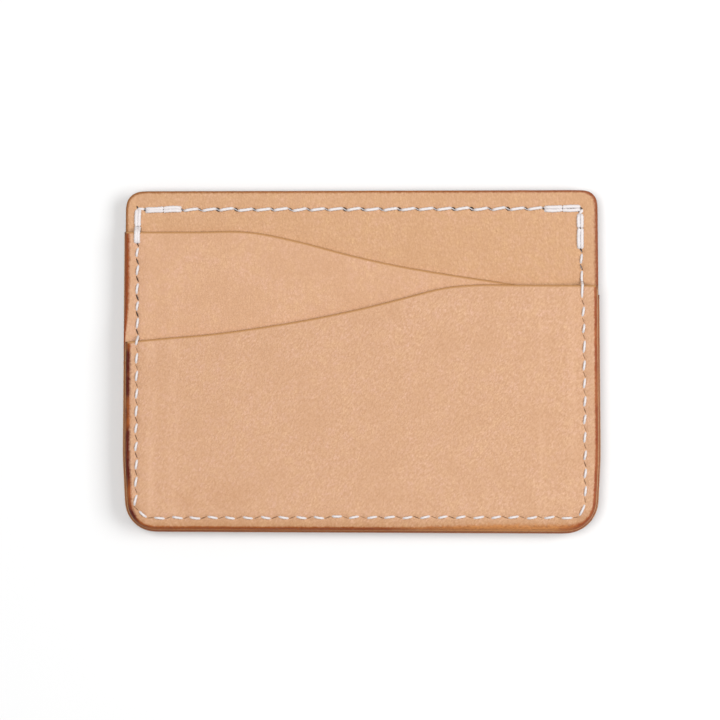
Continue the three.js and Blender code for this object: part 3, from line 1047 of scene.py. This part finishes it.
def srgb(red, green, blue):
    """A linear colour from the three values that a screen shows, 0 to 255."""
    linear = (((v / 255 + 0.055) / 1.055) ** 2.4 if v > 10 else v / 3294.6 for v in (red, green, blue))
    return (*linear, 1)


# Where the leather shows its use: pale bands where card edges pressed, by X and with a strength, and a
# browner place from handling, with the share of a mm that counts along each axis.
PRESS_MARKS = ((-45.5, -43.6, 0.22), (-41.0, -38.4, 0.15), (37.2, 38.6, 0.13), (43.6, 45.4, 0.15))
HANDLED_AT, HANDLED_SHARE = (-34.0, -28.0, 0.0), (0.08, 0.22, 0.0)
# Painted shade: the grain face grows darker from X 45 mm to X -50 mm, away from the key light.
LEFT_PAINTED_SHADE, LEFT_PAINTED_SHADE_SPAN = (0.93, 0.91, 0.92, 1), (45, -50)
BROWNER = (0.95, 0.92, 0.88, 1)
STAINED = (0.8, 0.72, 0.59, 1)
# the second colour serves both real dirt round the holes and painted shade in the slits and recesses
CUT_EDGE, DIRT_AND_SHADE = srgb(172, 127, 83), srgb(88, 56, 40)
EDGE_REACH = 55  # the span of X, to each side, over which the edges change colour


def dimmed(colour, *shares):
    """A colour with its red, green and blue each cut to a share."""
    return tuple(value * share for value, share in zip(colour, shares)) + (1,)


def leather_fields(m, place, turn):
    """The patterns that the colour and the relief of the leather are made of."""
    wobble = m.node("ShaderNodeTexNoise", {"Vector": place, "Scale": 1.4, "Detail": 2.0}, output="Color")
    cells = m.node(
        "ShaderNodeVectorMath",
        {0: m.stretched(place, (1.0, 0.72, 1.0)), 1: m.stretched(wobble, (0.9, 0.9, 0.9))},
        operation="ADD",
    )
    wrinkles = m.node("ShaderNodeTexVoronoi", {"Vector": cells, "Scale": 1.9}, feature="DISTANCE_TO_EDGE")
    pores = m.node("ShaderNodeTexVoronoi", {"Vector": place, "Scale": 2.6, "Randomness": 1.0})
    turned = m.node("ShaderNodeVectorRotate", {"Vector": place, "Angle": -turn}, rotation_type="Z_AXIS")
    return {
        "cloudy": m.noise(place, 0.13, 3.0),
        "tinted": m.noise(place, 0.45, 2.0),
        "mottled": m.noise(place, 1.7, 3.0, 0.65),
        "streaks": m.noise(m.stretched(place, (1.0, 0.14, 1.0)), 1.2, 3.0, 0.6),
        "pebbles": m.noise(m.stretched(turned, (0.6, 1.2, 1.0)), 2.2, 2.0, 0.5, 0.3),
        "crease": m.spread(wrinkles, 0.0, 0.16, 1.0, 0.0),
        "pore": m.spread(pores, 0.05, 0.16, 1.0, 0.0),
    }


def grain_colour(m, look, fields, across):
    """The tanned grain face, from its broad tints down to its pores."""
    base = look["colour"]
    tint = m.spread(fields["tinted"], 0.36, 0.64)
    colour = m.mix(tint, dimmed(base, 1.0, 0.98, 1.06), dimmed(base, 1.0, 1.0, 0.91))
    colour = m.mix(m.spread(fields["cloudy"], 0.42, 0.7), colour, dimmed(base, 0.9, 0.86, 0.8))
    # painted shade towards the left, as strong as the look's share for use
    left_painted_shade = m.spread(across, *LEFT_PAINTED_SHADE_SPAN, 0.0, look["worn"])
    colour = m.mix(left_painted_shade, colour, LEFT_PAINTED_SHADE, "MULTIPLY")
    mottles = m.spread(fields["mottled"], 0.36, 0.64, 0.0, 0.85)
    colour = m.mix(mottles, colour, dimmed(base, 0.84, 0.79, 0.72))
    streaked = m.times(m.spread(fields["streaks"], 0.44, 0.72), look["streaks"])
    colour = m.mix(streaked, colour, dimmed(base, 0.84, 0.79, 0.74))
    pebbled = m.times(m.spread(fields["pebbles"], 0.6, 0.36), look["pebbles"])
    colour = m.mix(pebbled, colour, dimmed(base, 0.76, 0.68, 0.59))
    colour = m.mix(m.times(fields["crease"], 0.24), colour, dimmed(base, 0.72, 0.63, 0.55))
    return m.mix(m.times(fields["pore"], 0.22), colour, dimmed(base, 0.6, 0.48, 0.38))


def worn_colour(m, colour, look, fields, place, across):
    """The grain face after long use: press marks, a browner place and a darker margin at the bottom."""
    for low, high, strength in PRESS_MARKS:
        starts, ends = m.spread(across, low - 0.5, low + 0.5), m.spread(across, high + 0.7, high - 0.7)
        band = m.times(m.times(starts, ends), m.spread(fields["streaks"], 0.35, 0.6))
        band = m.times(band, strength * look["worn"])
        colour = m.mix(band, colour, dimmed(look["colour"], 1.12, 1.14, 1.18))
    reach = m.node("ShaderNodeVectorMath", {0: place, 1: HANDLED_AT}, operation="SUBTRACT")
    reach = m.stretched(reach, HANDLED_SHARE)
    reach = m.node("ShaderNodeVectorMath", {0: reach}, output="Value", operation="LENGTH")
    handled = m.times(m.spread(reach, 1.0, 0.2), m.spread(fields["cloudy"], 0.3, 0.6))
    colour = m.mix(m.times(handled, look["worn"]), colour, BROWNER, "MULTIPLY")
    darkened = m.spread(fields["mottled"], 0.25, 0.6, 0.6, 1.0)
    darkened = m.times(m.attribute("stain"), darkened)
    return m.mix(darkened, colour, STAINED, "MULTIPLY")


def edge_colour(m, edges, place, across):
    """The burnished side edge: one tone at its grain side, another at its flesh side."""
    shift = m.maths("ADD", across, m.spread(m.noise(place, 0.2, 2.0), 0.3, 0.7, -5.0, 5.0))
    grain_tone = m.steps(m.spread(shift, -EDGE_REACH, EDGE_REACH), edges["grain"])
    flesh_tone = m.steps(m.spread(across, -EDGE_REACH, EDGE_REACH), edges["flesh"])
    edge = m.mix(m.spread(m.attribute("level"), 0.6, 0.0), grain_tone, flesh_tone)
    fibres = m.noise(m.stretched(place, (1.0, 1.0, 6.0)), 1.6, 3.0)
    return m.mix(m.spread(fibres, 0.42, 0.72, 0.0, 0.45), edge, srgb(92, 38, 16))


def leather_material(name, look, edges):
    """Tanned leather.

    look: its colour, how strong its streaks, its pebbled grain, the marks of long use and the painted shade
    towards the left are, and the direction in which the grain runs.
    edges: the colours of the burnished edge's grain side and of its flesh side, by X in mm.
    """
    m = Nodes(name)
    place = m.place()
    across = m.node("ShaderNodeSeparateXYZ", {0: place}, output=0)
    fields = leather_fields(m, place, look["turn"])
    colour = grain_colour(m, look, fields, across)
    colour = worn_colour(m, colour, look, fields, place, across)
    ragged = m.spread(fields["mottled"], 0.3, 0.7, -0.16, 0.16)
    ragged = m.maths("ADD", m.attribute("burnish"), ragged)
    colour = m.mix(m.spread(ragged, 0.2, 0.8), colour, edge_colour(m, edges, place, across))
    colour = m.mix(m.spread(m.attribute("mouth"), 0.2, 0.75), colour, CUT_EDGE)
    # real dirt round the holes, and painted shade with scorch in the slits and with dye in the recess at
    # each mouth's end
    colour = m.mix(m.spread(m.attribute("dirt"), 0.25, 1.6, 0.0, 0.9), colour, DIRT_AND_SHADE)
    m.link(colour, m.shader.inputs["Base Color"])

    polished = m.times(m.spread(ragged, 0.25, 0.75), 0.14)
    rough = m.maths("SUBTRACT", m.spread(fields["mottled"], 0.3, 0.7, 0.55, 0.68), polished)
    m.link(rough, m.shader.inputs["Roughness"])
    m.shader.inputs["Specular IOR Level"].default_value = 0.13
    raised, cut_in = m.times(fields["mottled"], 0.45), m.times(fields["crease"], 0.4)
    relief = m.maths("SUBTRACT", raised, cut_in)
    relief = m.maths("SUBTRACT", relief, m.times(fields["pore"], 0.25))
    relief = m.maths("ADD", relief, m.times(fields["pebbles"], 1.4 * look["pebbles"]))
    m.link(m.bump(relief, 0.7, 0.12), m.shader.inputs["Normal"])
    return m.material


def flesh_material():
    m = Nodes("leather_flesh_side")
    nap = m.noise(m.place(), 2.4, 5.0, 0.7)
    colour = m.mix(m.spread(nap, 0.3, 0.7), srgb(186, 146, 110), srgb(204, 168, 134))
    m.link(colour, m.shader.inputs["Base Color"])
    m.shader.inputs["Roughness"].default_value = 0.9
    m.link(m.bump(nap, 0.7, 0.12), m.shader.inputs["Normal"])
    return m.material


def thread_material():
    m = Nodes("white_thread")
    around = m.times(m.attribute("around"), 3.0)
    lines = m.node("ShaderNodeCombineXYZ", {0: m.attribute("along"), 1: around, 2: 0.0})
    fibres = m.noise(lines, 1.5, 3.0, 0.6)
    colour = m.mix(m.spread(fibres, 0.3, 0.7), srgb(196, 189, 187), srgb(222, 216, 217))
    m.link(colour, m.shader.inputs["Base Color"])
    m.shader.inputs["Roughness"].default_value = 0.62
    m.shader.inputs["Sheen Weight"].default_value = 0.2
    m.link(m.bump(fibres, 0.5, 0.04), m.shader.inputs["Normal"])
    return m.material


# ---------------------------------------------------------------- the whole holder

make_camera()
make_studio()

outer_layers = [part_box(name) for name in ("front_lower_pocket", "rear_lower_pocket")]
MIDDLE = sum(corner.z for box in outer_layers for corner in box) / 4 / MM  # the height of the middle plane
layers = {(side, order): Layer(side, order) for side in LAYERS for order in (PANEL, UPPER, LOWER)}
top_holes, pocket_holes = seam_holes()
bottom = pocket_holes[:, 1].min() + BOTTOM_RUN_HEIGHT
top_seam = Seam(top_holes, lambda hole: BACKSLASH, TOP_SEAM)
pocket_seam = Seam(
    pocket_holes,
    lambda hole: SLASH if hole[1] < bottom and hole[0] < SLASH_UP_TO else BACKSLASH,
    POCKET_SEAM,
)
seams = [top_seam, pocket_seam]
top_seam.link_from = pocket_seam.holes[0]
top_seam.link_to = pocket_seam.holes[-1]

flesh = flesh_material()
leathers = {
    PANEL: leather_material(
        "panel_leather",
        {
            "colour": srgb(204, 163, 129),
            "streaks": 0.4, "pebbles": 0.5, "worn": 0.0, "turn": math.radians(100),
        },
        {
            "grain": ((-51, 150, 100, 58), (0, 156, 98, 54), (51, 142, 80, 50)),
            "flesh": ((-51, 184, 146, 96), (-45, 150, 104, 70), (45, 150, 104, 70), (51, 170, 130, 88)),
        },
    ),
    UPPER: leather_material(
        "upper_pocket_leather",
        {
            "colour": srgb(207, 166, 135),
            "streaks": 0.6, "pebbles": 0.3, "worn": 0.4, "turn": math.radians(80),
        },
        {
            "grain": ((-51, 142, 70, 30), (0, 146, 80, 38), (51, 150, 82, 50)),
            "flesh": ((-51, 204, 165, 108), (-45, 164, 116, 76), (45, 164, 114, 76), (51, 190, 152, 108)),
        },
    ),
    LOWER: leather_material(
        "lower_pocket_leather",
        {
            "colour": srgb(208, 168, 138),
            "streaks": 0.25, "pebbles": 0.75, "worn": 1.0, "turn": math.radians(52),
        },
        {
            "grain": (
                (-50, 86, 22, 8), (-46, 150, 80, 32), (0, 140, 68, 26), (24, 180, 120, 70),
                (38, 184, 124, 74), (44, 150, 80, 42), (48, 146, 72, 38), (51, 160, 90, 50),
            ),
            "flesh": ((-51, 202, 166, 110), (-45, 170, 122, 76), (45, 186, 142, 98), (51, 200, 168, 126)),
        },
    ),
}
for side, order in layers:
    make_leather(side, order, seams, (leathers[order], flesh))

white = thread_material()
for side, (top_node, pocket_node) in THREADS.items():
    make_thread(side, top_node, top_seam, white)
    make_thread(side, pocket_node, pocket_seam, white)
